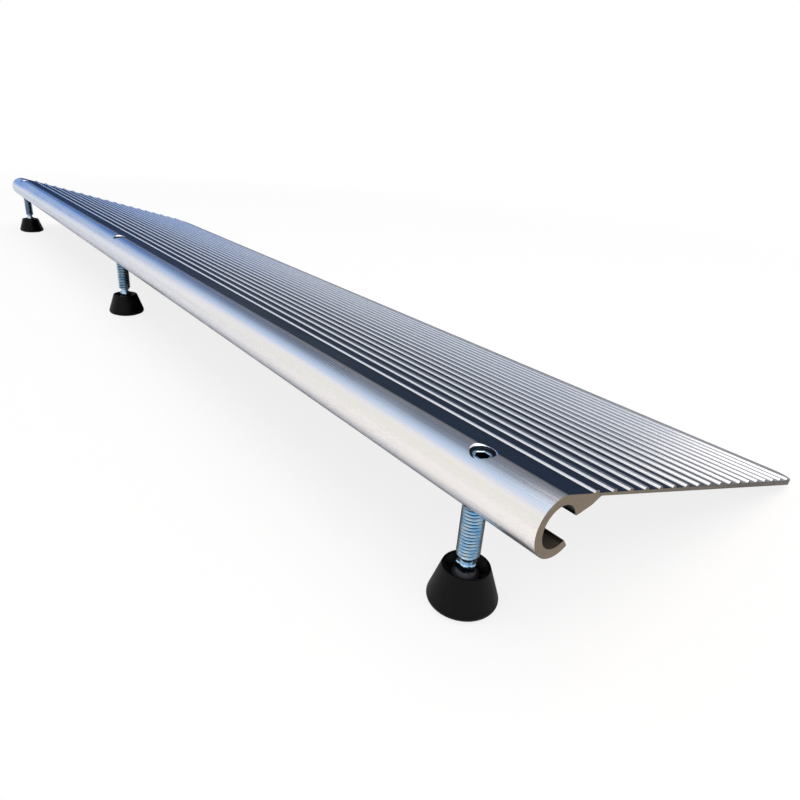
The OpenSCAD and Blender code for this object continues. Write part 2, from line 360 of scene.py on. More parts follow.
    # Where the painted dark reflection is strong, the metal is mostly matt, which paints it darker still
    strong_dark = add(tree, "ShaderNodeMath", {0: painted_dark_reflection, 1: 2.0}, operation="POWER")
    bright = add(
        tree, "ShaderNodeMath", {0: strong_dark.outputs["Value"], 1: -0.7, 2: 1.0}, operation="MULTIPLY_ADD",
    )
    surface = add(
        tree, "ShaderNodeBsdfPrincipled",
        {"Base Color": streaked.outputs["Color"], "Metallic": bright.outputs["Value"],
         "Roughness": rough.outputs["Value"], "Specular IOR Level": 0.0, "Specular Tint": edge,
         "Normal": relief.outputs["Normal"]},
    )
    add(tree, "ShaderNodeOutputMaterial", {"Surface": surface.outputs["BSDF"]})
    return finish


def cut_aluminium(name, base, toe_shade, rough_low, rough_high, spacing, **pattern):
    """Bare aluminium as a tool leaves it: a metal with shallow tool marks, dull and slightly warm from the
    saw's teeth on the ends, and bright from the countersink's cutter around the holes. Painted shade
    darkens the tapped holes inside, and the sawn ends towards the toe."""
    finish, tree = new_finish(name)
    place = add(tree, "ShaderNodeTexCoord").outputs["Object"]
    # The saw's marks lie on arcs of a blade that stands behind and below the nose
    blade = add(tree, "ShaderNodeMapping", {"Vector": place, "Location": (0, -mm(60), mm(140))})
    marks = add(
        tree, "ShaderNodeTexWave",
        {"Vector": blade.outputs["Vector"], "Scale": math.tau / WAVE_RADIANS / spacing, "Distortion": 1.2,
         "Detail": 2.0, "Detail Scale": 4.0},
        **pattern,
    )
    # The metal's grain is about 1.5 mm across
    grain = add(tree, "ShaderNodeTexNoise", {"Vector": place, "Scale": 1 / mm(1.5), "Detail": 5.0})
    rough = add(
        tree, "ShaderNodeMapRange",
        {"Value": grain.outputs["Fac"], "To Min": rough_low, "To Max": rough_high},
    )
    shade = add(
        tree, "ShaderNodeMapRange", {"Value": marks.outputs["Fac"], "To Min": 0.86, "To Max": 1.05},
    )
    # Painted shade darkens the thin end, from under the hook down to the toe
    back = add(tree, "ShaderNodeSeparateXYZ", {"Vector": place}).outputs["Y"]
    toe_shade_share = add(tree, "ShaderNodeMapRange", {"Value": back, "From Min": -mm(95), "From Max": mm(40)})
    metal = add(
        tree, "ShaderNodeMix", {"Factor": toe_shade_share.outputs["Result"], "A": base, "B": toe_shade}, data_type="RGBA",
    )
    tone = add(
        tree, "ShaderNodeHueSaturation",
        {"Color": metal.outputs["Result"], "Value": shade.outputs["Result"]},
    )
    mark_depth = spacing / 20
    relief = add(
        tree, "ShaderNodeBump",
        {"Height": marks.outputs["Fac"], "Strength": 0.25, "Distance": mark_depth},
    )
    surface = add(
        tree, "ShaderNodeBsdfPrincipled",
        {"Base Color": tone.outputs["Color"], "Metallic": 1.0, "Roughness": rough.outputs["Result"],
         "Normal": relief.outputs["Normal"]},
    )
    add(tree, "ShaderNodeOutputMaterial", {"Surface": surface.outputs["BSDF"]})
    return finish


def bright_zinc_plate(colours):
    """Steel with bright zinc and a blue passivate: a clean cool shine with faint drifts of blue."""
    finish, tree = new_finish("blue_passivated_zinc_plate")
    place = add(tree, "ShaderNodeTexCoord").outputs["Object"]
    # The passivate drifts over patches of about 4 mm
    drift = add(tree, "ShaderNodeTexNoise", {"Vector": place, "Scale": 1 / mm(4), "Detail": 3.0})
    share = add(
        tree, "ShaderNodeMapRange", {"Value": drift.outputs["Fac"], "From Min": 0.3, "From Max": 0.7},
    )
    tone = add(
        tree, "ShaderNodeMix",
        {"Factor": share.outputs["Result"], "A": colours.zinc, "B": colours.passivate}, data_type="RGBA",
    )
    # The depth below the thread's crests is stored on the mesh
    depth = add(tree, "ShaderNodeAttribute", attribute_name=DEPTH).outputs["Fac"]
    # Painted shade: the roots of the threads are darkened towards the root shade colour
    root_shade_share = add(
        tree, "ShaderNodeMapRange", {"Value": depth, "From Min": 0.55, "From Max": 1.0},
        interpolation_type="SMOOTHSTEP",
    )
    rod = add(
        tree, "ShaderNodeMix",
        {"Factor": root_shade_share.outputs["Result"], "A": tone.outputs["Result"], "B": colours.root_shade}, data_type="RGBA",
    )
    # Plating crystals are far finer than 0.3 mm and are drawn at that size, so that they show
    crystals = add(tree, "ShaderNodeTexNoise", {"Vector": place, "Scale": 1 / mm(0.3), "Detail": 2.0})
    rough = add(
        tree, "ShaderNodeMapRange", {"Value": crystals.outputs["Fac"], "To Min": 0.1, "To Max": 0.26},
    )
    surface = add(
        tree, "ShaderNodeBsdfPrincipled",
        {"Base Color": rod.outputs["Result"], "Metallic": 1.0, "Roughness": rough.outputs["Result"]},
    )
    add(tree, "ShaderNodeOutputMaterial", {"Surface": surface.outputs["BSDF"]})
    return finish


def moulded_plastic(name, base, rough_low, rough_high, grain_size, depth, shine):
    """A moulded black plastic: an even satin skin, broken up by the mould's fine spark-eroded grain."""
    finish, tree = new_finish(name)
    place = add(tree, "ShaderNodeTexCoord").outputs["Object"]
    grain = add(tree, "ShaderNodeTexNoise", {"Vector": place, "Scale": 1 / grain_size, "Detail": 4.0})
    # Flow in the mould leaves broad dull and shiny patches, about 9 mm across
    flow = add(tree, "ShaderNodeTexNoise", {"Vector": place, "Scale": 1 / mm(9), "Detail": 3.0})
    rough = add(
        tree, "ShaderNodeMapRange",
        {"Value": flow.outputs["Fac"], "To Min": rough_low, "To Max": rough_high},
    )
    shade = add(
        tree, "ShaderNodeMapRange", {"Value": grain.outputs["Fac"], "To Min": 0.8, "To Max": 1.3},
    )
    tone = add(tree, "ShaderNodeHueSaturation", {"Color": base, "Value": shade.outputs["Result"]})
    relief = add(
        tree, "ShaderNodeBump", {"Height": grain.outputs["Fac"], "Strength": 0.35, "Distance": depth},
    )
    surface = add(
        tree, "ShaderNodeBsdfPrincipled",
        {"Base Color": tone.outputs["Color"], "Roughness": rough.outputs["Result"],
         "Specular IOR Level": shine, "Normal": relief.outputs["Normal"]},
    )
    add(tree, "ShaderNodeOutputMaterial", {"Surface": surface.outputs["BSDF"]})
    return finish


def studio_paint(name, paint, glow, near, far, share):
    """Matt studio paint. Near the part the lamp lights it, so that it keeps the shadow, and reflections
    show it as it is lit. Away from the part it is plain white to the camera and its glow to reflections."""
    finish, tree = new_finish(name)
    place = add(tree, "ShaderNodeTexCoord").outputs["Object"]
    reach = add(tree, "ShaderNodeVectorMath", {0: place}, operation="LENGTH")
    path = add(tree, "ShaderNodeLightPath")
    least = add(
        tree, "ShaderNodeMath", {0: path.outputs["Is Glossy Ray"], 1: -share, 2: share},
        operation="MULTIPLY_ADD",
    )
    away = add(
        tree, "ShaderNodeMapRange",
        {"Value": reach.outputs["Value"], "From Min": near, "From Max": far,
         "To Min": least.outputs["Value"]},
        interpolation_type="SMOOTHSTEP",
    )
    shown = path.outputs["Is Camera Ray"]
    for ray in ("Is Glossy Ray", "Is Transmission Ray"):
        either = add(tree, "ShaderNodeMath", {0: shown, 1: path.outputs[ray]}, operation="MAXIMUM")
        shown = either.outputs["Value"]
    mix = add(tree, "ShaderNodeMath", {0: away.outputs["Result"], 1: shown}, operation="MULTIPLY")
    lit = add(tree, "ShaderNodeBsdfDiffuse", {"Color": paint})
    shine = add(
        tree, "ShaderNodeMix", {"Factor": path.outputs["Is Camera Ray"], "A": glow, "B": WHITE},
        data_type="RGBA",
    )
    plain = add(tree, "ShaderNodeEmission", {"Color": shine.outputs["Result"], "Strength": 1.0})
    both = add(
        tree, "ShaderNodeMixShader",
        {0: mix.outputs["Value"], 1: lit.outputs["BSDF"], 2: plain.outputs["Emission"]},
    )
    add(tree, "ShaderNodeOutputMaterial", {"Surface": both.outputs["Shader"]})
    return finish


def new_piece(name, mesh, *finishes):
    """A new object of a mesh, in the scene, with its finishes."""
    for finish in finishes:
        mesh.materials.append(finish)
    piece = bpy.data.objects.new(name, mesh)
    bpy.context.scene.collection.objects.link(piece)
    return piece


def mesh_of(name, points, faces, sharp=None):
    """A mesh of points and faces, its doubled points welded, its normals outward, smooth up to an angle."""
    shape = bmesh.new()
    corners = [shape.verts.new(point) for point in points]
    for face in faces:
        shape.faces.new([corners[i] for i in face])
    bmesh.ops.remove_doubles(shape, verts=shape.verts, dist=WELD)
    bmesh.ops.dissolve_degenerate(shape, edges=shape.edges, dist=WELD)
    bmesh.ops.recalc_face_normals(shape, faces=shape.faces)
    mesh = bpy.data.meshes.new(name)
    shape.to_mesh(mesh)
    shape.free()
    if sharp is not None:
        smooth(mesh, sharp)
    return mesh


def join(*shapes):
    """Points and faces of several shapes as those of one."""
    points, faces = [], []
    for more_points, more_faces in shapes:
        faces += [tuple(i + len(points) for i in face) for face in more_faces]
        points += more_points
    return points, faces


def rows_of_faces(rows, columns):
    """Faces between closed rows of points, with that many points in a row."""
    faces = []
    for row in range(rows - 1):
        here, above = row * columns, (row + 1) * columns
        for i in range(columns):
            after = (i + 1) % columns
            faces.append((here + i, here + after, above + after, above + i))
    return faces


def smooth(mesh, sharp):
    """Smooth faces, with edges over an angle in degrees left sharp."""
    mesh.polygons.foreach_set("use_smooth", [True] * len(mesh.polygons))
    mesh.set_sharp_from_angle(angle=math.radians(sharp))


def arc(centre, radius, start, end, steps):
    """Points on an arc in a plane, from one angle to another."""
    return [
        (centre[0] + radius * math.cos(start + (end - start) * i / steps),
         centre[1] + radius * math.sin(start + (end - start) * i / steps))
        for i in range(steps + 1)
    ]


def fillet(before, corner, after, radius, steps):
    """Points that round a corner between two straight runs."""
    back = (Vector(before) - Vector(corner)).normalized()
    onward = (Vector(after) - Vector(corner)).normalized()
    half = math.acos(max(-1.0, min(1.0, back.dot(onward)))) / 2
    centre = Vector(corner) + (back + onward).normalized() * (radius / math.sin(half))
    first = Vector(corner) + back * (radius / math.tan(half)) - centre
    last = Vector(corner) + onward * (radius / math.tan(half)) - centre
    start, end = math.atan2(first.y, first.x), math.atan2(last.y, last.x)
    if end - start > math.pi:
        end -= math.tau
    if start - end > math.pi:
        end += math.tau
    return arc(centre, radius, start, end, steps)


def crossing(start, end, other_start, other_end):
    """Where the line through two points meets the line through two others."""
    start, other_start = Vector(start), Vector(other_start)
    run, other = Vector(end) - start, Vector(other_end) - other_start
    across = (other_start.x - start.x) * other.y - (other_start.y - start.y) * other.x
    return start + run * (across / (run.x * other.y - run.y * other.x))


def lathe(rings, columns):
    """Points and faces of rings around +Z. A ring is (radius, height) or a list of (x, y, height), and the
    first and last rings close at their middles."""
    points = []
    turns = [math.tau * i / columns for i in range(columns)]
    for ring in rings:
        if len(ring) == columns:
            points += ring
        else:
            radius, height = ring
            points += [(radius * math.cos(turn), radius * math.sin(turn), height) for turn in turns]
    return points, rows_of_faces(len(rings), columns)


def hexagon(flats, height, columns, limit):
    """A ring on a hexagon with that width across its flats, its corners turned down to a radius."""
    ring = []
    for i in range(columns):
        turn = math.tau * i / columns
        off_flat = (turn % (math.tau / HEX_SIDES)) - math.pi / HEX_SIDES
        radius = min(flats / 2 / math.cos(off_flat), limit)
        ring.append((radius * math.cos(turn), radius * math.sin(turn), height))
    return ring


def leg_axis(side):
    """Place of a leg's axis on the floor, from the spindle's box."""
    low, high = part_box(f"spindle_{side}")
    return Vector(((low.x + high.x) / 2, (low.y + high.y) / 2, 0))


class RampSection:
    """The extrusion's outline around the nose's axis: y towards the toe and z up."""

    nose_steps, channel_steps, rib_steps, lip_steps, tip_steps = 110, 90, 14, 5, 40
    toe_edge, knee_radius = mm(0.3), mm(2)

    def __init__(self, sizes):
        self.sizes = sizes

    def on_slope(self, run, rise):
        """A point that far down the slope from the crown and that far out from the nose's axis."""
        cosine, sine = math.cos(self.sizes.slope), math.sin(self.sizes.slope)
        return (run * cosine + rise * sine, rise * cosine - run * sine)

    def lip(self, radius, side):
        """The rounded edge of the lip, on the nose's outside (side 1) or in its channel (side -1)."""
        edge = self.sizes.lip_edge
        end = -self.sizes.lip_angle
        middle = radius - side * edge
        lean = math.asin(edge / middle)
        centre = (middle * math.cos(end - lean), middle * math.sin(end - lean))
        square = end + math.pi / 2
        if side > 0:
            return arc(centre, edge, square, end - lean, self.lip_steps), end - lean
        return arc(centre, edge, end - lean + math.pi, square, self.lip_steps), end - lean

    def top(self):
        """The tread's face with its ribs, from the crown to the toe."""
        sizes = self.sizes
        points = [self.on_slope(0, sizes.nose_radius)]
        points.append(self.on_slope(sizes.rib_first / 2, sizes.face_radius))
        radius = ((sizes.rib_width / 2) ** 2 + sizes.rib_height ** 2) / (2 * sizes.rib_height)
        rise = sizes.face_radius + sizes.rib_height - radius
        base = math.asin((radius - sizes.rib_height) / radius)
        for i in range(sizes.rib_count):
            run = sizes.rib_first + i * sizes.rib_pitch
            rib = arc((run, rise), radius, math.pi - base, base, self.rib_steps)
            points += [self.on_slope(*point) for point in rib]
        return points

    def toe(self):
        """The toe's end face, the flat that it rests on and the way back under the tread to the hook."""
        sizes = self.sizes
        floor = -sizes.nose_height
        end_top = self.on_slope(sizes.tread_length, sizes.face_radius)
        end_low = self.on_slope(sizes.tread_length, sizes.face_radius - sizes.thick_toe)
        under_rise = sizes.face_radius - sizes.thick_nose
        under = self.on_slope(0, under_rise)
        level = ((-1, floor), (1, floor))
        heel = crossing(end_top, end_low, *level)
        flat = crossing(under, end_low, *level)
        knee = (sizes.hook_knee_y, sizes.hook_knee_z)
        hook_run = (sizes.hook_reach - under_rise * math.sin(sizes.slope)) / math.cos(sizes.slope)
        root = crossing(knee, self.on_slope(hook_run, under_rise), under, end_low)
        tip_z = sizes.hook_rise + sizes.hook_tip
        tip = (math.sqrt(sizes.channel_radius ** 2 - tip_z ** 2) + sizes.hook_tip, tip_z)
        bottom = (tip[0], tip[1] - sizes.hook_tip)
        last_rib = self.on_slope(sizes.tread_length - sizes.rib_pitch, sizes.face_radius)
        points = fillet(last_rib, end_top, heel, self.toe_edge, 4)
        points += [tuple(heel), tuple(flat)]
        points += fillet(flat, root, knee, sizes.hook_fillet, 6)
        points += fillet(root, knee, bottom, self.knee_radius, 5)
        # The tip's round stops where it runs into the channel. One step in four is drawn
        for i in range(self.tip_steps):
            turn = math.radians(270 - 90 * i / self.tip_steps)
            point = (tip[0] + sizes.hook_tip * math.cos(turn), tip[1] + sizes.hook_tip * math.sin(turn))
            if math.hypot(*point) < sizes.channel_radius:
                break
            if i % 4 == 0:
                points.append(point)
        return points, math.atan2(point[1], point[0])

    def outline(self):
        """All the points in order, clockwise as seen from +X."""
        sizes = self.sizes
        outer_edge, outer_start = self.lip(sizes.nose_radius, 1)
        inner_edge, inner_end = self.lip(sizes.channel_radius, -1)
        crown = math.pi / 2 - sizes.slope - math.tau
        toe, channel_start = self.toe()
        nose = arc((0, 0), sizes.nose_radius, outer_start, crown, self.nose_steps)
        channel = arc(
            (0, 0), sizes.channel_radius, channel_start, inner_end + math.tau, self.channel_steps
        )
        return outer_edge + nose[1:-1] + self.top() + toe + channel + inner_edge[1:]


def inset(outline, depth):
    """The outline drawn in by a small depth, corner by corner."""
    moved = []
    for i, point in enumerate(outline):
        before, after = Vector(outline[i - 1]), Vector(outline[(i + 1) % len(outline)])
        here = Vector(point)
        sides = (here - before).normalized(), (after - here).normalized()
        first, second = (Vector((side.y, -side.x)) for side in sides)
        moved.append(here + (first + second) * (depth / (1 + max(first.dot(second), 0))))
    return moved


class RAMP_OT_extrusion(bpy.types.Operator):
    """Builds the extruded tread and nose, with its holes and rounded toe corners"""

    bl_idname = "ramp.extrusion"
    bl_label = "Extrusion"
    sharp = 28
    hole_columns, corner_steps = 64, 24
    # Places of the cut metals among the piece's finishes
    sawn, machined, tapped = 1, 2, 3

    def execute(self, context):
        scene = context.scene
        sizes, legs, colours = scene.ramp_sizes, scene.ramp_legs, scene.ramp_finishes
        low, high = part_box("ramp_profile")
        axes = [leg_axis(side) for side in SIDES]
        nose = Vector((0, axes[0].y + legs.leg_offset, sizes.nose_height))
        body = self.bar(sizes, nose, low.x, high.x, axes)
        piece = new_piece(
            "extrusion", body, satin_anodised_aluminium(colours, sizes, nose),
            cut_aluminium(
                "sawn_aluminium", colours.sawn, colours.toe_shade, rough_low=0.36, rough_high=0.56,
                spacing=mm(0.6), wave_type="RINGS", rings_direction="X",
            ),
            cut_aluminium(
                "machined_aluminium", colours.machined, colours.toe_shade, rough_low=0.18, rough_high=0.3,
                spacing=mm(0.3), bands_direction="Z",
            ),
            # Painted shade inside the tapped holes
            cut_aluminium(
                "tapped_aluminium_painted_shade", colours.tapped, colours.toe_shade, rough_low=0.4, rough_high=0.55,
                spacing=legs.pitch, bands_direction="Z",
            ),
        )
        tool = new_piece("extrusion_tool", self.cutter(sizes, legs, nose, axes, low.x, high.x))
        cut = piece.modifiers.new("holes", "BOOLEAN")
        cut.object, cut.operation, cut.solver = tool, "DIFFERENCE", "EXACT"
        mesh = bpy.data.meshes.new_from_object(piece.evaluated_get(context.evaluated_depsgraph_get()))
        piece.modifiers.clear()
        piece.data = mesh
        bpy.data.objects.remove(tool)
        self.finishes(mesh, sizes, axes, low.x, high.x)
        smooth(mesh, self.sharp)
        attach(piece, "ramp")
        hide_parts("ramp_profile")
        return {"FINISHED"}

    def bar(self, sizes, nose, left, right, axes):
        """The outline pulled along the length, with stations on both sides of each hole."""
        outline = RampSection(sizes).outline()
        drawn_in = inset(outline, sizes.end_chamfer)
        around = mm(14)
        stations = [(left, drawn_in), (left + sizes.end_chamfer, outline)]
        for axis in sorted(axes, key=lambda axis: axis.x):
            stations += [(axis.x - around, outline), (axis.x + around, outline)]
        stations += [(right - sizes.end_chamfer, outline), (right, drawn_in)]
        points = [(x, nose.y + point[0], nose.z + point[1]) for x, ring in stations for point in ring]
        columns = len(outline)
        faces = [tuple(range(columns)), tuple(range(len(points) - columns, len(points)))]
        faces += rows_of_faces(len(stations), columns)
        return mesh_of("extrusion", points, faces)

    def cutter(self, sizes, legs, nose, axes, left, right):
        """What is cut away: the countersunk holes and the two toe corners."""
        past = mm(2)
        top = nose.z + math.sqrt(sizes.nose_radius ** 2 - legs.leg_offset ** 2)
        low = nose.z - sizes.nose_radius - past
        wide = sizes.hole_radius + sizes.countersink + past
        rings = [
            (0, low), (sizes.hole_radius, low), (sizes.hole_radius, top - sizes.countersink),
            (wide, top + past), (0, top + past),
        ]
        points, faces = lathe(rings, self.hole_columns)
        cuts = [([Vector(point) + axis for point in points], faces) for axis in axes]
        cuts += [self.corner(sizes, nose, left, 1, past), self.corner(sizes, nose, right, -1, past)]
        return mesh_of("extrusion_tool", *join(*cuts))

    def corner(self, sizes, nose, end, way, past):
        """What rounds one toe corner, at an end from which the ramp lies that way along X."""
        radius, toe = sizes.corner_radius, sizes.tread_length
        slope = Matrix.Translation(nose) @ Matrix.Rotation(-sizes.slope, 4, "X")
        centre = (end + way * radius, toe - radius)
        ring = arc(centre, radius, math.pi if way > 0 else 0, math.pi / 2, self.corner_steps)
        outside = end - way * past
        ring += [(centre[0], toe + past), (outside, toe + past), (outside, centre[1])]
        points = [
            slope @ Vector((x, run, sizes.face_radius + rise))
            for rise in (-sizes.thick_toe - past, past) for x, run in ring
        ]
        columns = len(ring)
        faces = [tuple(range(columns)), tuple(range(columns, 2 * columns))]
        return points, faces + rows_of_faces(2, columns)

    def finishes(self, mesh, sizes, axes, left, right):
        """Sawn metal on the ends, cut metal in the holes, and the anodised finish elsewhere."""
        bored = sizes.hole_radius + sizes.countersink + mm(0.5)
        # How squarely a face looks at the hole's axis: a countersink leans, and a tapped wall is upright
        leaning, upright = 0.5, 0.95
        for face in mesh.polygons:
            if min(face.center.x - left, right - face.center.x) < sizes.end_chamfer:
                face.material_index = self.sawn
                continue
            for axis in axes:
                out = Vector((face.center.x - axis.x, face.center.y - axis.y, 0))
                inward = -face.normal.dot(out.normalized())
                if out.length < bored and inward > leaning:
                    # Upright walls get the tapped finish with its painted shade
                    face.material_index = self.machined if inward < upright else self.tapped


class RAMP_OT_spindles(bpy.types.Operator):
    """Builds the three threaded spindles with their key sockets, necks, collars and journals"""

    bl_idname = "ramp.spindles"
    bl_label = "Spindles"
    columns = 48
    sharp = 32

    def execute(self, context):
        legs = context.scene.ramp_legs
        zinc = bright_zinc_plate(context.scene.ramp_finishes)
        low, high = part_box("spindle_right")
        points, faces = self.rod(legs, low.z, high.z)
        for side in SIDES:
            axis = leg_axis(side)
            placed = [Vector(point) + axis for point in points]
            mesh = mesh_of(f"spindle_rod_{side}", placed, faces, self.sharp)
            self.depths(mesh, legs, axis, high.z)
            piece = new_piece(f"spindle_rod_{side}", mesh, zinc)
            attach(piece, f"spindle_{side}")
            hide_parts(f"spindle_{side}")
        return {"FINISHED"}

    def depths(self, mesh, legs, axis, top):
        """Stores how deep each point of the threaded length lies below the crests, up to 1 at the roots."""
        layer = mesh.attributes.new(DEPTH, "FLOAT", "POINT")
        end_radius = legs.crest_radius - legs.chamfer
        end_face = mm(0.1)
        for point, value in zip(mesh.vertices, layer.data):
            radius = math.hypot(point.co.x - axis.x, point.co.y - axis.y)
            above, below = point.co.z - legs.thread_end, top - point.co.z
            crest = min(legs.crest_radius, end_radius + above, end_radius + below)
            share = (crest - radius) / (legs.crest_radius - legs.root_radius)
            value.value = min(max(share, 0), 1) if above > 0 and below > end_face else 0

    def rod(self, legs, bottom, top):
        """Points and faces of one spindle on the Z axis, from the socket down to the peened head."""
        end_radius = legs.crest_radius - legs.chamfer
        upper = [*self.socket(legs, top), (end_radius, top)]
        run_out, head_round, head_bevel = mm(0.25), mm(0.2), mm(0.3)
        head_top = bottom + legs.head_height
        lower = [
            (end_radius, legs.thread_end), (legs.neck_radius, legs.thread_end - run_out),
            (legs.neck_radius, legs.collar_top), *self.collar(legs),
            (legs.journal_radius, legs.collar_base), (legs.journal_radius, head_top),
            (legs.head_radius - head_round, head_top), (legs.head_radius, head_top - head_round),
            (legs.head_radius, bottom + head_bevel), (legs.head_radius - head_bevel, bottom), (0, bottom),
        ]
        return join(lathe(upper, self.columns), self.thread(legs, top), lathe(lower, self.columns))

    def socket(self, legs, top):
        """Rings of the key socket, from its drill point up to its bevelled mouth."""
        drill_point, bevel = mm(1), mm(0.3)
        floor = top - legs.socket_depth
        # Wider than any hexagon here, so that no corner is turned down
        no_limit = 2 * legs.collar_flats
        rings = [(0, floor - drill_point)]
        flats = legs.socket_flats
        for width, height in ((flats, floor), (flats, top - bevel), (flats + 2 * bevel, top)):
            rings.append(hexagon(width, height, self.columns, no_limit))
        return rings

    def collar(self, legs):
        """Rings of the collar, from its top down, with its corners turned down at both faces."""
        corners = legs.collar_flats / 2 / math.cos(math.pi / HEX_SIDES)
        turned = legs.collar_flats / 2 - mm(0.1)
        rings = []
        for height, limit in (
            (legs.collar_top, turned), (legs.collar_top - legs.collar_bevel, corners),
            (legs.collar_base + legs.collar_bevel, corners), (legs.collar_base, turned),
        ):
            rings.append(hexagon(legs.collar_flats, height, self.columns, limit))
        return rings

    def thread(self, legs, top):
        """The helical thread between its two chamfered ends."""
        columns, pitch = self.columns, legs.pitch
        crest, root = legs.crest_radius, legs.root_radius
        # One turn of the basic profile, as shares of the pitch and radii: a flat crest, a flank, a rounded
        # root, a flank
        rounded = root - mm(0.06)
        profile = [(0, crest), (0.125, crest), (0.4375, root), (0.5625, rounded), (0.6875, root)]
        per_turn = len(profile)
        # Two turns to spare at each end are pressed flat against the ends
        base = legs.thread_end - 2 * pitch
        turns = math.ceil((top - base) / pitch) + 2
        end_radius = crest - legs.chamfer
        rows = turns * per_turn
        points, faces = [], []
        for i in range(columns):
            rise = base + pitch * i / columns
            turn = math.tau * i / columns
            for k in range(rows):
                share, radius = profile[k % per_turn]
                height = rise + (k // per_turn + share) * pitch
                height = min(max(height, legs.thread_end), top)
                radius = min(radius, end_radius + height - legs.thread_end, end_radius + top - height)
                points.append((radius * math.cos(turn), radius * math.sin(turn), height))
        for i in range(columns):
            # The last column meets the first one turn higher
            shift = per_turn if i == columns - 1 else 0
            here, after = i * rows, (i + 1) % columns * rows + shift
            for k in range(rows - 1 - shift):
                faces.append((here + k, after + k, after + k + 1, here + k + 1))
        return points, faces


class RAMP_OT_feet(bpy.types.Operator):
    """Builds the three moulded feet, and finishes the balls and soles inside and under them"""

    bl_idname = "ramp.feet"
    bl_label = "Feet"
    columns = 96
    sharp = 35

    def execute(self, context):
        legs, colours = context.scene.ramp_legs, context.scene.ramp_finishes
        nylon = moulded_plastic(
            "spark_grained_black_nylon", colours.nylon, rough_low=0.32, rough_high=0.46,
            grain_size=mm(0.45), depth=mm(0.04), shine=0.12,
        )
        acetal = moulded_plastic(
            "moulded_dark_acetal", colours.acetal, rough_low=0.25, rough_high=0.35,
            grain_size=mm(0.6), depth=mm(0.01), shine=0.4,
        )
        rubber = moulded_plastic(
            "moulded_black_rubber", colours.rubber, rough_low=0.7, rough_high=0.85,
            grain_size=mm(0.5), depth=mm(0.05), shine=0.3,
        )
        points, faces = lathe(self.rings(legs), self.columns)
        for side in SIDES:
            axis = leg_axis(side)
            placed = [Vector(point) + axis for point in points]
            mesh = mesh_of(f"foot_moulding_{side}", placed, faces, self.sharp)
            piece = new_piece(f"foot_moulding_{side}", mesh, nylon)
            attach(piece, f"foot_{side}")
            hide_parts(f"foot_base_{side}")
            for node, finish in ((f"swivel_ball_{side}", acetal), (f"foot_sole_{side}", rubber)):
                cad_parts[node].data.materials.clear()
                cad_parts[node].data.materials.append(finish)
        return {"FINISHED"}

    def rings(self, legs):
        """Rings of one foot, from the ball socket over the dish and rim, down the cone, into the recess."""
        dish_floor = legs.foot_height - legs.dish_depth
        lean = math.atan2(legs.foot_radius - legs.rim_radius, legs.foot_height - legs.foot_base)
        mouth = math.asin((dish_floor - legs.ball_height) / legs.socket_radius)
        rings = arc((0, legs.ball_height), legs.socket_radius, -math.pi / 2, mouth, 20)
        dish_edge = (legs.dish_radius, legs.foot_height)
        dish_corner = (legs.dish_floor_radius, dish_floor)
        corner_round, edge_round, recess_bevel = mm(0.5), mm(0.35), mm(0.2)
        rings += fillet(rings[-1], dish_corner, dish_edge, corner_round, 4)
        rings += fillet(dish_corner, dish_edge, (legs.rim_radius, legs.foot_height), edge_round, 4)
        rim = (legs.rim_radius - legs.rim_edge, legs.foot_height - legs.rim_edge)
        rings += arc(rim, legs.rim_edge, math.pi / 2, lean, 7)
        edge = (legs.foot_radius - legs.foot_edge, legs.foot_base + legs.foot_edge)
        rings += arc(edge, legs.foot_edge, lean, -math.pi / 2, 14)
        rings += [
            (legs.sole_radius + recess_bevel, legs.foot_base),
            (legs.sole_radius, legs.foot_base + recess_bevel),
            (legs.sole_radius, legs.sole_top), (0, legs.sole_top),
        ]
        return rings


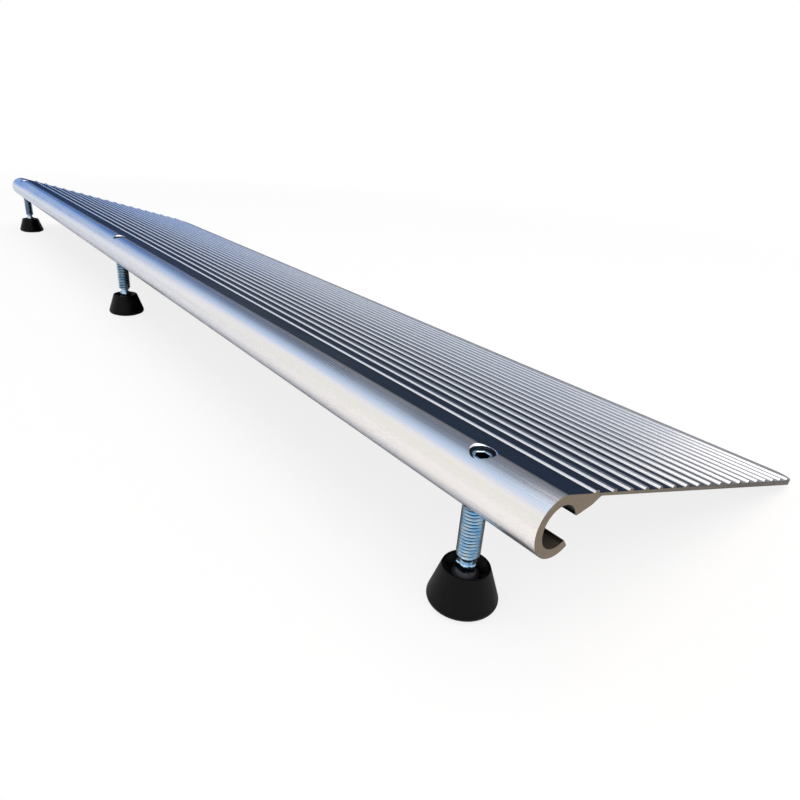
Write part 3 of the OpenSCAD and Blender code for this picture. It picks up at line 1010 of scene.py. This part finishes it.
class RAMP_OT_stage(bpy.types.Operator):
    """Builds the studio: floor, wall, board, cards, room, lamp and camera"""

    bl_idname = "ramp.stage"
    bl_label = "Stage"

    def execute(self, context):
        stage = context.scene.ramp_stage
        self.backdrop(stage)
        self.room(context.scene, stage)
        self.lamp(
            "overhead_panel", place=(0.95, 0.2, 2.3), target=(0.95, 0.2, 0), size=(2.6, 2.6), power=42,
            light=stage.ceiling,
        )
        self.camera(context.scene, stage)
        context.scene.view_settings.view_transform = "Standard"
        return {"FINISHED"}

    def backdrop(self, stage):
        """A round floor that turns up into a low wall, a cream board ahead of the nose, and a blue card
        with a pale one above it beyond the far end."""
        floor_reach, bend, wall = 3.2, 0.8, 1.05
        # The floor shows the lamp's light up to the first distance, and is plain from the second on
        near, far = 0.8, 1.6
        rings = [(0, 0), (1.0, 0), (2.0, 0)]
        rings += arc((floor_reach, bend), bend, -math.pi / 2, 0, 16)
        rings.append((floor_reach + bend, wall))
        points, faces = lathe(rings, columns=96)
        mesh = mesh_of("studio_floor", points, faces, sharp=60)
        white = studio_paint("matt_white_studio_paint", stage.backdrop, WHITE, near, far, share=0.82)
        floor = new_piece("studio_floor", mesh, white)
        cream, blue, pale = (
            studio_paint(name, tone, tone, near, far, share=0.5)
            for name, tone in (
                ("matt_cream_board", stage.board), ("matt_blue_card", stage.card),
                ("matt_pale_blue_card", stage.pale_card),
            )
        )
        board = self.panel("bounce_board", (-2.6, -1.67, 0.002), (2.6, -1.65, 1.5), cream)
        card = self.panel("blue_card", (-3.42, -0.65, 0.05), (-3.4, 2.0, 0.95), blue)
        upper = self.panel("pale_card", (-3.39, -0.95, 0.6), (-3.37, 0.1, 1.0), pale)

    def panel(self, name, low, high, finish):
        """A standing panel between two opposite corners."""
        xs, ys, zs = zip(low, high)
        points = [(x, y, z) for x in xs for y in ys for z in zs]
        faces = [(0, 1, 3, 2), (4, 6, 7, 5), (0, 4, 5, 1), (2, 3, 7, 6), (0, 2, 6, 4), (1, 5, 7, 3)]
        return new_piece(name, mesh_of(name, points, faces), finish)

    def room(self, scene, stage):
        """The room above the walls: pale ahead of the nose, cool overhead, dim behind the far half, and
        blue beyond the far end."""
        scene.world = bpy.data.worlds.new("studio_room")
        scene.world.use_nodes = True
        tree = scene.world.node_tree
        tree.nodes.clear()
        way = add(tree, "ShaderNodeTexCoord").outputs["Generated"]
        along = add(tree, "ShaderNodeSeparateXYZ", {"Vector": way}).outputs["X"]
        across = add(tree, "ShaderNodeVectorMath", {0: way, 1: (0, 1, 1)}, operation="MULTIPLY")
        turned = add(tree, "ShaderNodeVectorMath", {0: across.outputs["Vector"]}, operation="NORMALIZE")
        back = add(tree, "ShaderNodeSeparateXYZ", {"Vector": turned.outputs["Vector"]}).outputs["Y"]
        cool, dim, beyond, far = (
            add(
                tree, "ShaderNodeMapRange", {"Value": value, "From Min": low, "From Max": high},
                interpolation_type="SMOOTHSTEP",
            ).outputs["Result"]
            for value, low, high in (
                (back, -0.75, -0.35), (back, -0.4, 0.4), (along, -0.28, -0.44), (along, -0.86, -1.0),
            )
        )
        ahead = add(
            tree, "ShaderNodeMix", {"Factor": cool, "A": stage.front_room, "B": stage.upper_room},
            data_type="RGBA",
        )
        distance = add(
            tree, "ShaderNodeMix", {"Factor": far, "A": stage.back_room, "B": stage.far_room},
            data_type="RGBA",
        )
        behind = add(
            tree, "ShaderNodeMix",
            {"Factor": beyond, "A": stage.front_room, "B": distance.outputs["Result"]}, data_type="RGBA",
        )
        tone = add(
            tree, "ShaderNodeMix",
            {"Factor": dim, "A": ahead.outputs["Result"], "B": behind.outputs["Result"]}, data_type="RGBA",
        )
        # The camera sees the room as plain white, and the room's colours light the part
        path = add(tree, "ShaderNodeLightPath")
        seen = add(
            tree, "ShaderNodeMix",
            {"Factor": path.outputs["Is Camera Ray"], "A": tone.outputs["Result"], "B": WHITE},
            data_type="RGBA",
        )
        light = add(tree, "ShaderNodeBackground", {"Color": seen.outputs["Result"], "Strength": 1.0})
        add(tree, "ShaderNodeOutputWorld", {"Surface": light.outputs["Background"]})

    def lamp(self, name, place, target, size, power, light):
        """A soft panel lamp that faces a target."""
        data = bpy.data.lights.new(name, "AREA")
        data.shape, data.size, data.size_y = "RECTANGLE", size[0], size[1]
        data.energy, data.color = power, light[:3]
        lamp = bpy.data.objects.new(name, data)
        lamp.location = place
        lamp.rotation_euler = (Vector(target) - Vector(place)).to_track_quat("-Z", "Y").to_euler()
        bpy.context.scene.collection.objects.link(lamp)

    def camera(self, scene, stage):
        """The camera, turned by yaw, pitch and roll."""
        yaw, pitch, roll = stage.camera_yaw, stage.camera_pitch, stage.camera_roll
        reach = math.cos(pitch)
        ahead = Vector((-math.sin(yaw) * reach, math.cos(yaw) * reach, -math.sin(pitch)))
        level = Vector((math.cos(yaw), math.sin(yaw), 0))
        down = ahead.cross(level)
        right = math.cos(roll) * level + math.sin(roll) * down
        below = math.cos(roll) * down - math.sin(roll) * level
        data = bpy.data.cameras.new("camera")
        data.lens, data.sensor_width = stage.camera_lens, SENSOR_WIDTH
        data.clip_start, data.clip_end = 0.01, 50
        camera = bpy.data.objects.new("camera", data)
        turn = Matrix((right, -below, -ahead)).transposed().to_4x4()
        camera.matrix_world = Matrix.Translation(stage.camera_place) @ turn
        scene.collection.objects.link(camera)
        scene.camera = camera


class RAMP_PT_panel(bpy.types.Panel):
    """Lists the ramp's pieces and their settings"""

    bl_idname = "RAMP_PT_panel"
    bl_label = "Threshold ramp"
    bl_space_type = "VIEW_3D"
    bl_region_type = "UI"
    bl_category = "Ramp"

    def draw(self, context):
        for operator in OPERATORS:
            self.layout.operator(operator.bl_idname)
        for group in SETTINGS:
            values = getattr(context.scene, group)
            box = self.layout.box()
            for name in values.bl_rna.properties.keys():
                if name not in ("rna_type", "name"):
                    box.prop(values, name)


OPERATORS = (RAMP_OT_extrusion, RAMP_OT_spindles, RAMP_OT_feet, RAMP_OT_stage)
SETTINGS = {
    "ramp_sizes": RampSizes, "ramp_legs": LegSizes, "ramp_finishes": RampFinishes,
    "ramp_stage": StageSettings,
}
CLASSES = (*SETTINGS.values(), *OPERATORS, RAMP_PT_panel)


def register():
    for kind in CLASSES:
        bpy.utils.register_class(kind)
    for name, group in SETTINGS.items():
        setattr(bpy.types.Scene, name, bpy.props.PointerProperty(type=group))


def unregister():
    for name in SETTINGS:
        delattr(bpy.types.Scene, name)
    for kind in reversed(CLASSES):
        bpy.utils.unregister_class(kind)


def main():
    register()
    bpy.ops.ramp.stage()
    bpy.ops.ramp.extrusion()
    bpy.ops.ramp.spindles()
    bpy.ops.ramp.feet()


if __name__ == "__main__":
    main()
